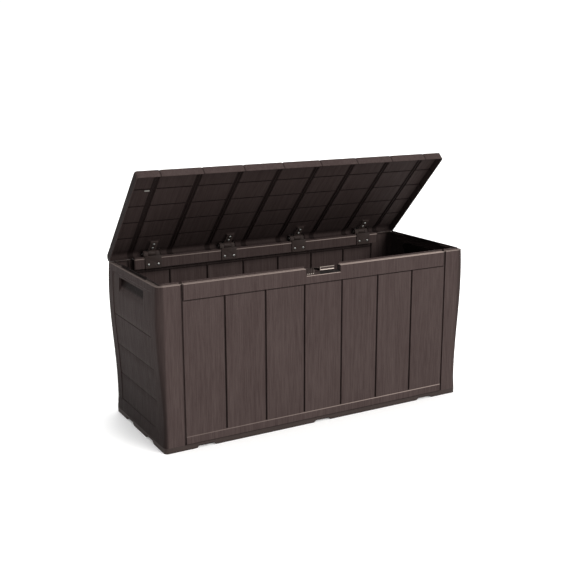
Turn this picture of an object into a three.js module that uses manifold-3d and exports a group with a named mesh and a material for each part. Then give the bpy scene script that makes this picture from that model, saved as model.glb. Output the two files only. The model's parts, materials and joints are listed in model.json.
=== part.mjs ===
// A resin deck storage box: seven wood-look planks on each long wall, half-plank corner posts that
// belong to the end walls, a floor tray with a short skirt, and one plank-pattern lid on four hinges.
// Millimetres, +Z up, +X to the right of someone facing the box, -Y the front.
// The origin is on the ground under the middle of the body.
import * as THREE from 'three';
import { mergeVertices } from 'three/addons/utils/BufferGeometryUtils.js';
import Module from 'manifold-3d';

const wasm = await Module();
wasm.setup();

// ---- driving dimensions ------------------------------------------------------------------------
const PLANK = 144.8; // pitch of the planks, the same on the walls and on the lid
const PLANKS = 7; // whole planks between the corner posts
const FACE = 223.5; // outer face of the front and back walls, from the middle
const RIM = 540; // height of the rim ledge
const UPSTAND = 6; // weather lip that stands on the ledge, inside the lid
const SKIRT = 18; // height of the floor tray's visible skirt
const WALL = 3.5; // thickness of a wall skin
const GAP = 0.3; // clearance between pieces that touch
const JOINT = 6.6; // width of the open joint between the front panel and a post
const WAIST = 574.5; // half width of an end wall low down
const BULGE = 591; // half width of an end wall where it is widest
const WAIST_Z = 90; // height where the end wall starts to swell
const BULGE_Z = 440; // height where it is widest
const TOP_FALL = 4.5; // how far the end wall comes back in at the rim
const FLARE = 3.5; // how far the end wall's foot stands out over the skirt
const FLARE_Z = 62; // height where that foot has faded out
const CORNER = 16; // radius of the body's upright corners

const LID_HALF = 587; // half width of the lid
const LID_FRONT = -218; // front face of the lid's lip when it is shut
const LID_TOP = 568; // top of the shut lid
const LID_LIP = 26.5; // height of the lid's lip
const LID_SKIN = 2.5; // thickness of the lid's top skin
const FLANGE = 3; // thickness of the rim's upstand and flange
const LIP = 3.5; // thickness of the lid's lip
const ROLL = 13.5; // outer radius of the rolled back edge, which is centred on the hinge
const HINGE_Y = FACE - ROLL;
const HINGE_Z = LID_TOP - ROLL;
const LID_OPEN = 46.3; // degrees from shut, as the lid stands in the rest pose
const STATIONS = [-3, -1, 1, 3]; // hinge places, in planks from the middle

// ---- solid helpers -----------------------------------------------------------------------------
function toSolid(geometry) {
  const bare = geometry.clone();
  bare.deleteAttribute('normal');
  bare.deleteAttribute('uv');
  const merged = mergeVertices(bare, 1e-4);
  const vertProperties = new Float32Array(merged.attributes.position.array);
  const triVerts = new Uint32Array(merged.index.array);
  return new wasm.Manifold(new wasm.Mesh({ numProp: 3, vertProperties, triVerts }));
}

function toGeometry(solid) {
  const mesh = solid.getMesh();
  const geometry = new THREE.BufferGeometry();
  geometry.setAttribute('position', new THREE.Float32BufferAttribute(mesh.vertProperties, 3));
  geometry.setIndex(Array.from(mesh.triVerts));
  return geometry;
}

function join(...pieces) {
  return toGeometry(pieces.map(toSolid).reduce((whole, piece) => whole.add(piece)));
}

function cut(piece, ...tools) {
  return toGeometry(tools.map(toSolid).reduce((whole, tool) => whole.subtract(tool), toSolid(piece)));
}

// The same piece for the other end of the box.
function mirrored(geometry) {
  const other = geometry.clone().scale(-1, 1, 1);
  other.setIndex(Array.from(other.index.array).reverse());
  return other;
}

function box(x0, x1, y0, y1, z0, z1) {
  const geometry = new THREE.BoxGeometry(x1 - x0, y1 - y0, z1 - z0);
  return geometry.translate((x0 + x1) / 2, (y0 + y1) / 2, (z0 + z1) / 2);
}

function outline(points) {
  return new THREE.Shape(points.map(([a, b]) => new THREE.Vector2(a, b)));
}

// An outline drawn in plan, raised from z0 to z1.
function raised(shape, z0, z1, steps = 1) {
  const options = { depth: z1 - z0, bevelEnabled: false, steps, curveSegments: 5 };
  return new THREE.ExtrudeGeometry(shape, options).translate(0, 0, z0);
}

// An outline drawn as [y, z], run from x0 to x1.
function alongX(shape, x0, x1) {
  const options = { depth: x1 - x0, bevelEnabled: false, curveSegments: 12 };
  const turn = new THREE.Matrix4().makeBasis(
    new THREE.Vector3(0, 1, 0),
    new THREE.Vector3(0, 0, 1),
    new THREE.Vector3(1, 0, 0),
  );
  return new THREE.ExtrudeGeometry(shape, options).applyMatrix4(turn).translate(x0, 0, 0);
}

// An outline drawn as [x, z], run from y0 to y1.
function alongY(shape, y0, y1) {
  const options = { depth: y1 - y0, bevelEnabled: false, curveSegments: 12 };
  return new THREE.ExtrudeGeometry(shape, options).rotateX(Math.PI / 2).translate(0, y1, 0);
}

function rodX(radius, x0, x1, y, z, sides = 20) {
  const rod = new THREE.CylinderGeometry(radius, radius, x1 - x0, sides).rotateZ(Math.PI / 2);
  return rod.translate((x0 + x1) / 2, y, z);
}

function rodY(radius, y0, y1, x, z, sides = 12) {
  const rod = new THREE.CylinderGeometry(radius, radius, y1 - y0, sides);
  return rod.translate(x, (y0 + y1) / 2, z);
}

function rodZ(radius, z0, z1, x, y, sides = 12) {
  const rod = new THREE.CylinderGeometry(radius, radius, z1 - z0, sides).rotateX(Math.PI / 2);
  return rod.translate(x, y, (z0 + z1) / 2);
}

// ---- materials and nodes -----------------------------------------------------------------------
function resin(colour, roughness = 0.55) {
  return new THREE.MeshStandardMaterial({ color: colour, roughness, metalness: 0 });
}

const BROWN = resin(0x4d403c);
const DARK_BROWN = resin(0x3a302c);
const PALE = resin(0xb4b2ad, 0.5);
const STEEL = new THREE.MeshStandardMaterial({ color: 0x9a9a98, roughness: 0.35, metalness: 1 });

const deckBox = new THREE.Group();
const lidPieces = new THREE.Group();

function node(name, geometry, material, parent = deckBox) {
  const mesh = new THREE.Mesh(geometry, material);
  mesh.name = name;
  parent.add(mesh);
}

// ---- plank spacing and the swelling end wall ---------------------------------------------------
const POST_EDGE = (PLANKS / 2) * PLANK + JOINT / 2; // where a post's face starts
const PANEL_END = (PLANKS / 2) * PLANK - JOINT / 2; // where the front panel's face ends

// x of each groove between two planks of a wall, and of each groove in the lid
const wallGrooves = Array.from({ length: PLANKS - 1 }, (_, i) => (i - (PLANKS - 2) / 2) * PLANK);
const lidGrooves = Array.from({ length: PLANKS + 1 }, (_, i) => (i - PLANKS / 2) * PLANK);

function halfWidth(z) {
  const swell = THREE.MathUtils.clamp((z - WAIST_Z) / (BULGE_Z - WAIST_Z), 0, 1);
  const rise = (BULGE - WAIST) * (1 - Math.cos(Math.PI * swell)) / 2;
  const fall = TOP_FALL * Math.max(0, (z - BULGE_Z) / (RIM - BULGE_Z)) ** 2;
  const foot = FLARE * Math.max(0, (FLARE_Z - z) / (FLARE_Z - SKIRT));
  return WAIST + rise - fall + foot;
}

// ---- floor tray --------------------------------------------------------------------------------
// One moulding: a floor on a grid of ribs, a skirt that the walls stand on, and a low upstand
// that the walls close around. The skirt is notched so that water and air pass under it.
const TRAY_HALF = 577;
const TRAY_FACE = 222.5;
const TRAY_CORNER = 12;
const UPSTAND_HALF = 566;
const UPSTAND_FACE = 211;
const UPSTAND_TOP = 50;
const FLOOR_TOP = 26;
const FLOOR_SKIN = 3.5;
const TRAY_RIB = 4;
const NOTCH = { length: 68, height: 9, slant: 10 };

function roundedRectangle(halfX, halfY, radius) {
  const shape = new THREE.Shape();
  shape.moveTo(-halfX + radius, -halfY);
  shape.lineTo(halfX - radius, -halfY);
  shape.absarc(halfX - radius, -halfY + radius, radius, -Math.PI / 2, 0);
  shape.lineTo(halfX, halfY - radius);
  shape.absarc(halfX - radius, halfY - radius, radius, 0, Math.PI / 2);
  shape.lineTo(-halfX + radius, halfY);
  shape.absarc(-halfX + radius, halfY - radius, radius, Math.PI / 2, Math.PI);
  shape.lineTo(-halfX, -halfY + radius);
  shape.absarc(-halfX + radius, -halfY + radius, radius, Math.PI, Math.PI * 1.5);
  return shape;
}

function notchOutline(middle) {
  const foot = NOTCH.length / 2;
  const head = foot - NOTCH.slant;
  return outline([
    [middle - foot, -1],
    [middle + foot, -1],
    [middle + head, NOTCH.height],
    [middle - head, NOTCH.height],
  ]);
}

function floorTray() {
  const skirt = raised(roundedRectangle(TRAY_HALF, TRAY_FACE, TRAY_CORNER), 0, SKIRT);
  const upstand = raised(roundedRectangle(UPSTAND_HALF, UPSTAND_FACE, 6), SKIRT - 1, UPSTAND_TOP);
  const inside = box(
    -UPSTAND_HALF + WALL, UPSTAND_HALF - WALL, -UPSTAND_FACE + WALL, UPSTAND_FACE - WALL,
    FLOOR_TOP, UPSTAND_TOP + 1,
  );
  const tools = [inside];
  const cells = { x: 10, y: 4 };
  const cellX = (2 * (UPSTAND_HALF - WALL)) / cells.x;
  const cellY = (2 * (UPSTAND_FACE - WALL)) / cells.y;
  for (let i = 0; i < cells.x; i += 1) {
    for (let j = 0; j < cells.y; j += 1) {
      const x = -UPSTAND_HALF + WALL + i * cellX;
      const y = -UPSTAND_FACE + WALL + j * cellY;
      const half = TRAY_RIB / 2;
      tools.push(box(x + half, x + cellX - half, y + half, y + cellY - half, -1, FLOOR_TOP - FLOOR_SKIN));
    }
  }
  for (const plank of [-3, 0, 3]) {
    tools.push(alongY(notchOutline(plank * PLANK), -TRAY_FACE - 1, -UPSTAND_FACE + WALL));
    tools.push(alongY(notchOutline(plank * PLANK), UPSTAND_FACE - WALL, TRAY_FACE + 1));
  }
  for (const y of [-90, 90]) {
    tools.push(alongX(notchOutline(y), -TRAY_HALF - 1, -UPSTAND_HALF + WALL));
    tools.push(alongX(notchOutline(y), UPSTAND_HALF - WALL, TRAY_HALF + 1));
  }
  return cut(join(skirt, upstand), ...tools);
}

node('floor_tray', floorTray(), DARK_BROWN);

// ---- front and back panels ---------------------------------------------------------------------
// Each is one moulding: a folded plank skin, a bottom rail that stands proud, and a hollow top rail
// that carries the rim. They are drawn facing -Y; the back panel is turned half round.
const RAIL_LOW = 490; // underside of the top rail
const SILL_TOP = 46; // top of the bottom rail
const PROUD = 1.5; // how far the rails stand out from the planks
const GROOVE = { half: 3.5, depth: 4 };
const FOOT = SKIRT + GAP;
const RAIL_DEPTH = 15; // the front rail, from the planks' face to its inner flange
const FLANGE_LOW = 505;

function plankSkin() {
  const face = -FACE;
  const inner = face + WALL;
  const points = [[-PANEL_END, face]];
  for (const x of wallGrooves) {
    points.push([x - GROOVE.half, face], [x - 1, face + GROOVE.depth]);
    points.push([x + 1, face + GROOVE.depth], [x + GROOVE.half, face]);
  }
  points.push([PANEL_END, face], [PANEL_END, inner]);
  for (const x of wallGrooves.toReversed()) {
    points.push([x + GROOVE.half + 1.5, inner], [x + 2.5, inner + GROOVE.depth]);
    points.push([x - 2.5, inner + GROOVE.depth], [x - GROOVE.half - 1.5, inner]);
  }
  points.push([-PANEL_END, inner]);
  return raised(outline(points), SILL_TOP - 4, RAIL_LOW + 4);
}

function bottomRail() {
  const face = -FACE;
  const section = outline([
    [face - PROUD, FOOT],
    [face + WALL, FOOT],
    [face + WALL, SILL_TOP],
    [face, SILL_TOP],
    [face - PROUD, SILL_TOP - 3],
  ]);
  return alongX(section, -PANEL_END, PANEL_END);
}

function topRail(depth) {
  const face = -FACE;
  const inner = face + depth;
  const section = outline([
    [face - PROUD, RAIL_LOW],
    [face + WALL - 1, RAIL_LOW],
    [face + WALL - 1, RIM - WALL],
    [inner - FLANGE, RIM - WALL],
    [inner - FLANGE, FLANGE_LOW],
    [inner, FLANGE_LOW],
    [inner, RIM + UPSTAND],
    [inner - FLANGE, RIM + UPSTAND],
    [inner - FLANGE, RIM],
    [face + 1, RIM],
    [face - PROUD, RIM - 2.5],
  ]);
  return alongX(section, -PANEL_END, PANEL_END);
}

const LATCH_HALF = 66; // the opening that the lock plate sits in
const LATCH_LOW = 516;

function frontPanel() {
  const rail = topRail(RAIL_DEPTH);
  const opening = box(
    -LATCH_HALF, LATCH_HALF, -FACE - 4, -FACE + RAIL_DEPTH + 1, LATCH_LOW, RIM + UPSTAND + 1,
  );
  const shelf = box(
    -LATCH_HALF - WALL, LATCH_HALF + WALL, -FACE, -FACE + RAIL_DEPTH, LATCH_LOW - WALL, LATCH_LOW,
  );
  const cheeks = [-1, 1].map((side) => {
    const x0 = side < 0 ? -LATCH_HALF - WALL : LATCH_HALF;
    return box(x0, x0 + WALL, -FACE, -FACE + RAIL_DEPTH, LATCH_LOW - WALL, RIM - 1);
  });
  return cut(join(plankSkin(), bottomRail(), rail, shelf, ...cheeks), opening);
}

node('front_panel', frontPanel(), BROWN);

// The back rail is deeper, because the hinge brackets stand on its ledge.
const BACK_RAIL_DEPTH = 33;
const BRACKET_SCREW_Z = 519;
const BRACKET_SCREW_X = 18;
const SCREW = { shank: 1.9, hole: 2.2, head: 4.2, headHeight: 2.2 };
const FLANGE_Y = FACE - BACK_RAIL_DEPTH; // inner face of the back rail's flange

function backPanel() {
  const rail = topRail(BACK_RAIL_DEPTH);
  const wall = join(plankSkin(), bottomRail(), rail).rotateZ(Math.PI);
  const holes = STATIONS.flatMap((station) => [-BRACKET_SCREW_X, BRACKET_SCREW_X].map((dx) => (
    rodY(SCREW.hole, FLANGE_Y - 1, FLANGE_Y + FLANGE + 1, station * PLANK + dx, BRACKET_SCREW_Z)
  )));
  return cut(wall, ...holes);
}

node('back_panel', backPanel(), BROWN);

// ---- end panels --------------------------------------------------------------------------------
// Each is one moulding that wraps round both corners to make the posts. Its wall swells outwards
// towards the top, has a shallow field with three level grooves, and a finger recess under the rim.
const END_WALL = 4;
const FIELD = { y0: -167, y1: 170, depth: 2.5, low: 60, high: 518 };
const FIELD_GROOVES = [157, 262, 370];
// The finger recess: deepest under its sharp top edge, with a floor that slopes out to the wall.
const RECESS = { half: 110, low: 458, knee: 496, high: 506, depth: 15, wall: 3 };
const LEDGE = 15; // depth of the rim ledge
const TONGUE = { reach: 17, thick: 3, behind: 5.5, top: RIM - WALL - 0.5 };
const LOFT_WIDTH = WAIST; // the half width that the plan outlines are drawn at

// A plan outline that runs from the front post, round the end wall, to the back post.
// near and far are the distances of its two sides from the outer face.
function wrapOutline(near, far, field) {
  const shape = new THREE.Shape();
  const w = LOFT_WIDTH;
  shape.moveTo(POST_EDGE, -FACE + near);
  shape.lineTo(w - CORNER, -FACE + near);
  shape.absarc(w - CORNER, -FACE + CORNER, CORNER - near, -Math.PI / 2, 0);
  if (field) {
    shape.lineTo(w - near, FIELD.y0);
    shape.lineTo(w - near - FIELD.depth, FIELD.y0 + 3);
    shape.lineTo(w - near - FIELD.depth, FIELD.y1 - 3);
    shape.lineTo(w - near, FIELD.y1);
  }
  shape.lineTo(w - near, FACE - CORNER);
  shape.absarc(w - CORNER, FACE - CORNER, CORNER - near, 0, Math.PI / 2);
  shape.lineTo(POST_EDGE, FACE - near);
  shape.lineTo(POST_EDGE, FACE - far);
  const inner = Math.max(CORNER - far, 1);
  shape.lineTo(w - far - inner, FACE - far);
  shape.absarc(w - far - inner, FACE - far - inner, inner, Math.PI / 2, 0, true);
  if (field) {
    shape.lineTo(w - far, FIELD.y1);
    shape.lineTo(w - far - FIELD.depth, FIELD.y1 - 3);
    shape.lineTo(w - far - FIELD.depth, FIELD.y0 + 3);
    shape.lineTo(w - far, FIELD.y0);
  }
  shape.lineTo(w - far, -FACE + far + inner);
  shape.absarc(w - far - inner, -FACE + far + inner, inner, 0, -Math.PI / 2, true);
  shape.lineTo(POST_EDGE, -FACE + far);
  return shape;
}

// Leans every upright line of a raised outline out to the end wall's half width at its height.
function swell(geometry) {
  const position = geometry.attributes.position;
  for (let i = 0; i < position.count; i += 1) {
    const x = position.getX(i);
    const share = Math.max(0, x - POST_EDGE) / (LOFT_WIDTH - POST_EDGE);
    position.setX(i, x + share * (halfWidth(position.getZ(i)) - LOFT_WIDTH));
  }
  return geometry;
}

function grooveTool(z) {
  const x = halfWidth(z) - FIELD.depth;
  const section = outline([
    [x + 1, z - 3.5],
    [x + 1, z + 3.5],
    [x - 1.8, z],
  ].toReversed());
  return alongY(section, FIELD.y0 + 4, FIELD.y1 - 4);
}

// Drawn as the right-hand one.
function endPanel() {
  const foot = swell(raised(wrapOutline(0, END_WALL, false), FOOT, FIELD.low, 2));
  const middle = swell(raised(wrapOutline(0, END_WALL, true), FIELD.low, FIELD.high, 9));
  const head = swell(raised(wrapOutline(0, END_WALL, false), FIELD.high, RIM, 1));
  const ledge = swell(raised(wrapOutline(0, LEDGE, false), RIM - WALL, RIM, 1));
  const lip = cut(
    swell(raised(wrapOutline(LEDGE - FLANGE, LEDGE, false), RIM - WALL, RIM + UPSTAND, 1)),
    box(POST_EDGE - 1, BULGE, FLANGE_Y, FACE, RIM, RIM + UPSTAND + 1),
  );
  const face = halfWidth(RECESS.high) - FIELD.depth;
  const deep = face - RECESS.depth;
  const skin = RECESS.wall;
  const recessCase = alongY(outline([
    [face - 1, RECESS.high + skin],
    [deep - skin, RECESS.high + skin],
    [deep - skin, RECESS.knee - skin / 2],
    [face - 1, RECESS.low - skin],
  ]), -RECESS.half - skin, RECESS.half + skin);
  const lowFace = halfWidth(RECESS.low) - FIELD.depth;
  const slope = (RECESS.knee - RECESS.low) / (lowFace - deep);
  const clear = 6; // how far past the wall's face the scoop is cut
  const fingers = alongY(outline([
    [lowFace + clear, RECESS.high],
    [deep, RECESS.high],
    [deep, RECESS.knee],
    [lowFace + clear, RECESS.low - slope * clear],
  ]), -RECESS.half, RECESS.half);
  const tongues = [-1, 1].map((side) => {
    const outer = FACE - TONGUE.behind;
    const y0 = side < 0 ? -outer : outer - TONGUE.thick;
    const x1 = POST_EDGE + TONGUE.thick;
    const tongue = box(POST_EDGE - TONGUE.reach, x1, y0, y0 + TONGUE.thick, FOOT, TONGUE.top);
    const y2 = side < 0 ? -FACE + 1 : outer - TONGUE.thick;
    const root = box(POST_EDGE, x1, y2, y2 + FACE - 1 - outer + TONGUE.thick, FOOT, TONGUE.top);
    return join(tongue, root);
  });
  const whole = join(foot, middle, head, ledge, lip, recessCase, ...tongues);
  return cut(whole, fingers, ...FIELD_GROOVES.map(grooveTool));
}

const rightEnd = endPanel();
node('right_end_panel', rightEnd, BROWN);
node('left_end_panel', mirrored(rightEnd), BROWN);

// ---- lock plate --------------------------------------------------------------------------------
// A separate insert in the middle of the front rim: a back plate with a padlock hole, a thumb pad
// with ribs, and a raised tab that the lid's lip drops over.
const PLATE = { face: -FACE + 6, back: -FACE + 13, top: RIM - 1 };
const TAB = { x0: -12, x1: 42, low: 529, top: RIM + 0.5 };
const THUMB = { ribs: 4, x0: -60, pitch: 7, width: 3 };

function lockPlate() {
  const half = LATCH_HALF - 2 * GAP;
  const low = LATCH_LOW + GAP;
  const plate = box(-half, half, PLATE.face, PLATE.back, low, PLATE.top);
  const shelf = box(-half, half, -FACE + 1, PLATE.face + 1, low, low + 3);
  const tab = box(TAB.x0, TAB.x1, -FACE + 1.5, PLATE.face + 1, TAB.low, TAB.top);
  const tabTop = box(TAB.x0, TAB.x1, PLATE.face, PLATE.back, PLATE.top - 1, TAB.top);
  const ribs = Array.from({ length: THUMB.ribs }, (_, i) => {
    const x0 = THUMB.x0 + i * THUMB.pitch;
    return box(x0, x0 + THUMB.width, -FACE + 3, PLATE.face + 1, low + 2, PLATE.top - 1);
  });
  const hole = box(-30, -15, -FACE, PLATE.back + 1, 522, 536);
  const slot = box(45, 61, -FACE, PLATE.back + 1, 522, RIM + 1);
  return cut(join(plate, shelf, tab, tabTop, ...ribs), hole, slot);
}

node('lock_plate', lockPlate(), DARK_BROWN);

// ---- hinge brackets, pins and leaves -----------------------------------------------------------
// Each hinge is a bracket hooked over the back rail with two screws, a leaf screwed under the lid,
// and a pin through both. Positions are given with the lid shut.
const KNUCKLE = 9;
const PIN = 3;
const BORE = PIN + GAP;
const BRACKET_HALF = 30;
const LEAF_HALF = 13.5;
const BRACKET_PLATE = 3;
const LEAF = { front: 150, low: 556.7, top: 560.7 };
const LEAF_SCREWS_Y = [162, 182];

function hingeBracket(x) {
  const low = RIM + GAP;
  const strapY = FLANGE_Y - GAP;
  const over = RIM + UPSTAND + GAP;
  const foot = box(x - BRACKET_HALF, x + BRACKET_HALF, FLANGE_Y + 4, FACE - 3, low, low + BRACKET_PLATE);
  const knuckles = [-1, 1].map((side) => {
    const near = x + side * (LEAF_HALF + GAP + 0.2);
    const end = x + side * BRACKET_HALF;
    const x0 = Math.min(near, end);
    const x1 = Math.max(near, end);
    const web = box(x0, x1, HINGE_Y - KNUCKLE, HINGE_Y + KNUCKLE, low, HINGE_Z);
    return join(rodX(KNUCKLE, x0, x1, HINGE_Y, HINGE_Z), web);
  });
  const riser = box(
    x - BRACKET_HALF, x + BRACKET_HALF, FLANGE_Y + FLANGE + GAP, FLANGE_Y + 6, low, over + 2.5,
  );
  const bridge = box(
    x - BRACKET_HALF, x + BRACKET_HALF, strapY - BRACKET_PLATE, FLANGE_Y + 6, over, over + 2.5,
  );
  const strap = box(
    x - BRACKET_HALF, x + BRACKET_HALF, strapY - BRACKET_PLATE, strapY, FLANGE_LOW, over + 2.5,
  );
  const holes = [-BRACKET_SCREW_X, BRACKET_SCREW_X].map((dx) => (
    rodY(SCREW.hole, strapY - BRACKET_PLATE - 1, strapY + 1, x + dx, BRACKET_SCREW_Z)
  ));
  const bore = rodX(BORE, x - BRACKET_HALF - 1, x + BRACKET_HALF + 1, HINGE_Y, HINGE_Z);
  return cut(join(foot, ...knuckles, riser, bridge, strap), bore, ...holes);
}

function hingeLeaf(x) {
  const barrel = rodX(KNUCKLE, x - LEAF_HALF, x + LEAF_HALF, HINGE_Y, HINGE_Z);
  const blade = box(x - LEAF_HALF, x + LEAF_HALF, LEAF.front, HINGE_Y, LEAF.low, LEAF.top);
  const holes = LEAF_SCREWS_Y.map((y) => rodZ(SCREW.hole, LEAF.low - 1, LEAF.top + 1, x, y));
  const bore = rodX(BORE, x - LEAF_HALF - 1, x + LEAF_HALF + 1, HINGE_Y, HINGE_Z);
  return cut(join(barrel, blade), bore, ...holes);
}

function hingePin(x) {
  const end = BRACKET_HALF + GAP;
  const shank = rodX(PIN, x - end - 1, x + end + 1, HINGE_Y, HINGE_Z);
  const heads = [-1, 1].map((side) => {
    const x0 = side < 0 ? x - end - 2 : x + end;
    return rodX(PIN + 1.8, x0, x0 + 2, HINGE_Y, HINGE_Z);
  });
  return join(shank, ...heads);
}

function screw(length) {
  const profile = [
    [0, 0],
    [SCREW.shank, 0],
    [SCREW.shank, length],
    [SCREW.head, length],
    [SCREW.head, length + SCREW.headHeight * 0.4],
    [SCREW.head * 0.6, length + SCREW.headHeight],
    [0, length + SCREW.headHeight],
  ].map(([r, y]) => new THREE.Vector2(r, y));
  return new THREE.LatheGeometry(profile, 12);
}

STATIONS.forEach((station, i) => {
  const x = station * PLANK;
  const number = i + 1;
  node(`hinge_bracket_${number}`, hingeBracket(x), DARK_BROWN);
  node(`hinge_pin_${number}`, hingePin(x), STEEL);
  node(`hinge_leaf_${number}`, hingeLeaf(x), DARK_BROWN, lidPieces);
  [-1, 1].forEach((side) => {
    const length = 9;
    const headSeat = FLANGE_Y - GAP - BRACKET_PLATE - GAP;
    const body = screw(length).rotateX(Math.PI).translate(0, headSeat + length, 0);
    body.translate(x + side * BRACKET_SCREW_X, 0, BRACKET_SCREW_Z);
    node(`bracket_screw_${number}_${side < 0 ? 'left' : 'right'}`, body, STEEL);
  });
  LEAF_SCREWS_Y.forEach((y, row) => {
    const length = 9;
    const body = screw(length).rotateX(-Math.PI / 2).translate(x, y, LEAF.low - GAP + length);
    node(`leaf_screw_${number}_${row === 0 ? 'front' : 'back'}`, body, STEEL, lidPieces);
  });
});

// ---- lid ---------------------------------------------------------------------------------------
// One moulding, drawn shut: a skin with plank grooves on top, a thicker pad under each plank with a
// channel on either side of it and narrow grooves across it, a lip round three sides, and a rolled
// back edge that turns about the hinge line.
const LID_CORNER = 9;
const CHANNEL = 22; // width of the channel between two pads
const PAD = { depth: 3, front: -210, back: 194 };
const CROSS = { half: 2.5, depth: 2, places: [-134, -49, 36, 121] };
const LID_GROOVE = { half: 3, depth: 1.5 };
const SEAT = { half: 20, front: 146, back: 196, low: 561 }; // boss that a hinge leaf bears on
const HINGE_NOTCH = { half: BRACKET_HALF + 1, front: HINGE_Y }; // where the roll gives way to a hinge

function lidPlan(half, front, back, radius) {
  const shape = new THREE.Shape();
  shape.moveTo(-half + radius, front);
  shape.lineTo(half - radius, front);
  shape.absarc(half - radius, front + radius, radius, -Math.PI / 2, 0);
  shape.lineTo(half, back);
  shape.lineTo(-half, back);
  shape.lineTo(-half, front + radius);
  shape.absarc(-half + radius, front + radius, radius, Math.PI, Math.PI * 1.5);
  return shape;
}

function backRoll(outer, inner, x0, x1) {
  const shape = new THREE.Shape();
  shape.absarc(HINGE_Y, HINGE_Z, outer, -Math.PI / 2, Math.PI / 2);
  if (inner > 0) {
    shape.lineTo(HINGE_Y, HINGE_Z + inner);
    shape.absarc(HINGE_Y, HINGE_Z, inner, Math.PI / 2, -Math.PI / 2, true);
  }
  return alongX(shape, x0, x1);
}

// Side view of one pad, with its cross grooves, as [y, z].
function padOutline(under) {
  const low = under - PAD.depth;
  const points = [[PAD.back, under + 0.5], [PAD.front, under + 0.5], [PAD.front + 2, low]];
  for (const y of CROSS.places) {
    points.push([y - CROSS.half, low], [y - 1, low + CROSS.depth]);
    points.push([y + 1, low + CROSS.depth], [y + CROSS.half, low]);
  }
  points.push([PAD.back - 2, low]);
  return outline(points);
}

function lidPanel() {
  const low = LID_TOP - LID_LIP;
  const under = LID_TOP - LID_SKIN;
  const block = raised(lidPlan(LID_HALF, LID_FRONT, HINGE_Y, LID_CORNER), low, LID_TOP);
  const hollow = raised(
    lidPlan(LID_HALF - LIP, LID_FRONT + LIP, HINGE_Y + 1, LID_CORNER - LIP), low - 1, under,
  );
  const tray = cut(block, hollow);
  const roll = backRoll(ROLL, ROLL - LID_SKIN, -LID_HALF, LID_HALF);
  const rollEnds = [-LID_HALF, LID_HALF - LIP].map((x0) => backRoll(ROLL, 0, x0, x0 + LIP));
  const edges = [-LID_HALF + LIP - CHANNEL / 4, ...lidGrooves, LID_HALF - LIP + CHANNEL / 4];
  const pads = edges.slice(1).map((x, i) => (
    alongX(padOutline(under), edges[i] + CHANNEL / 2, x - CHANNEL / 2)
  ));
  const seats = STATIONS.map((station) => box(
    station * PLANK - SEAT.half, station * PLANK + SEAT.half, SEAT.front, SEAT.back, SEAT.low, under + 1,
  ));
  const notches = STATIONS.map((station) => box(
    station * PLANK - HINGE_NOTCH.half, station * PLANK + HINGE_NOTCH.half,
    HINGE_NOTCH.front, FACE + 1, low - 1, LID_TOP + 1,
  ));
  const screwHoles = STATIONS.flatMap((station) => LEAF_SCREWS_Y.map((y) => (
    rodZ(SCREW.hole, SEAT.low - 1, LEAF.low + 9.5, station * PLANK, y)
  )));
  const grooves = lidGrooves.map((x) => {
    const top = outline([
      [x - LID_GROOVE.half, LID_TOP + 0.5],
      [x, LID_TOP - LID_GROOVE.depth],
      [x + LID_GROOVE.half, LID_TOP + 0.5],
    ]);
    return alongY(top, LID_FRONT - 1, HINGE_Y - 2);
  });
  const whole = join(tray, roll, ...rollEnds, ...pads, ...seats);
  return cut(whole, ...notches, ...screwHoles, ...grooves);
}

node('lid', lidPanel(), BROWN, lidPieces);

// A small pale clip under the lid, near its left front corner.
const CLIP = { x: -527, y: -127, half: 8.5, deep: 2.5, drop: 3 };
const clipTop = LID_TOP - LID_SKIN - PAD.depth - GAP;
node(
  'lid_clip',
  box(CLIP.x - CLIP.half, CLIP.x + CLIP.half, CLIP.y - CLIP.deep, CLIP.y + CLIP.deep,
    clipTop - CLIP.drop, clipTop),
  PALE,
  lidPieces,
);

// ---- the lid stands open on its hinge line -----------------------------------------------------
const hinge = new THREE.Group();
hinge.position.set(0, HINGE_Y, HINGE_Z);
hinge.rotation.x = -THREE.MathUtils.degToRad(LID_OPEN);
lidPieces.position.set(0, -HINGE_Y, -HINGE_Z);
hinge.add(lidPieces);
deckBox.add(hinge);

export default deckBox;
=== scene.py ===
import json
import math

import bmesh
import bpy
from mathutils import Matrix, Vector


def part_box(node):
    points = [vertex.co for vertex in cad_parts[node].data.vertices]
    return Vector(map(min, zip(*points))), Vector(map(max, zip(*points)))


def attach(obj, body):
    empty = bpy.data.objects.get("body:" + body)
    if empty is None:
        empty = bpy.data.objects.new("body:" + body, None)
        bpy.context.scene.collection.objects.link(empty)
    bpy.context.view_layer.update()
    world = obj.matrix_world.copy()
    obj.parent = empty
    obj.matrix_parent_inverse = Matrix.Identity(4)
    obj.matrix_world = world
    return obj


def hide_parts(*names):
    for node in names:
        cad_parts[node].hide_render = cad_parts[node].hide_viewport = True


# A resin deck storage box with a wood-look shell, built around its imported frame. Metres, +Z up, with
# the lock plate facing -Y. The lid is made shut, and then opened about the frame's one hinge line.
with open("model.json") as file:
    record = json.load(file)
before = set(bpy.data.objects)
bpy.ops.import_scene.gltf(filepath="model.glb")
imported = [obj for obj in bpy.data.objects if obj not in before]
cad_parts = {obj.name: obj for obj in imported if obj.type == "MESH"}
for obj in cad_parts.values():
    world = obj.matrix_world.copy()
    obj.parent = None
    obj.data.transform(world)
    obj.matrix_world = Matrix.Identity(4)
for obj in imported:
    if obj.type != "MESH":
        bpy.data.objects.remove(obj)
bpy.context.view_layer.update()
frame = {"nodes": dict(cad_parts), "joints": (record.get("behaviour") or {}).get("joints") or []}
scene = bpy.context.scene


# ---- Camera -------------------------------------------------------------------------------------
# Eye level is above the open lid's front edge, off the box's front left corner. The lens is a
# little longer than a normal one.
CAMERA_PLACE = (-1.5648, -2.7486, 1.1864)
CAMERA_AZIMUTH = math.radians(-29.3254)
CAMERA_TILT = math.radians(13.4129)
CAMERA_ROLL = math.radians(-0.1712)
CAMERA_LENS = 58.34

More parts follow.
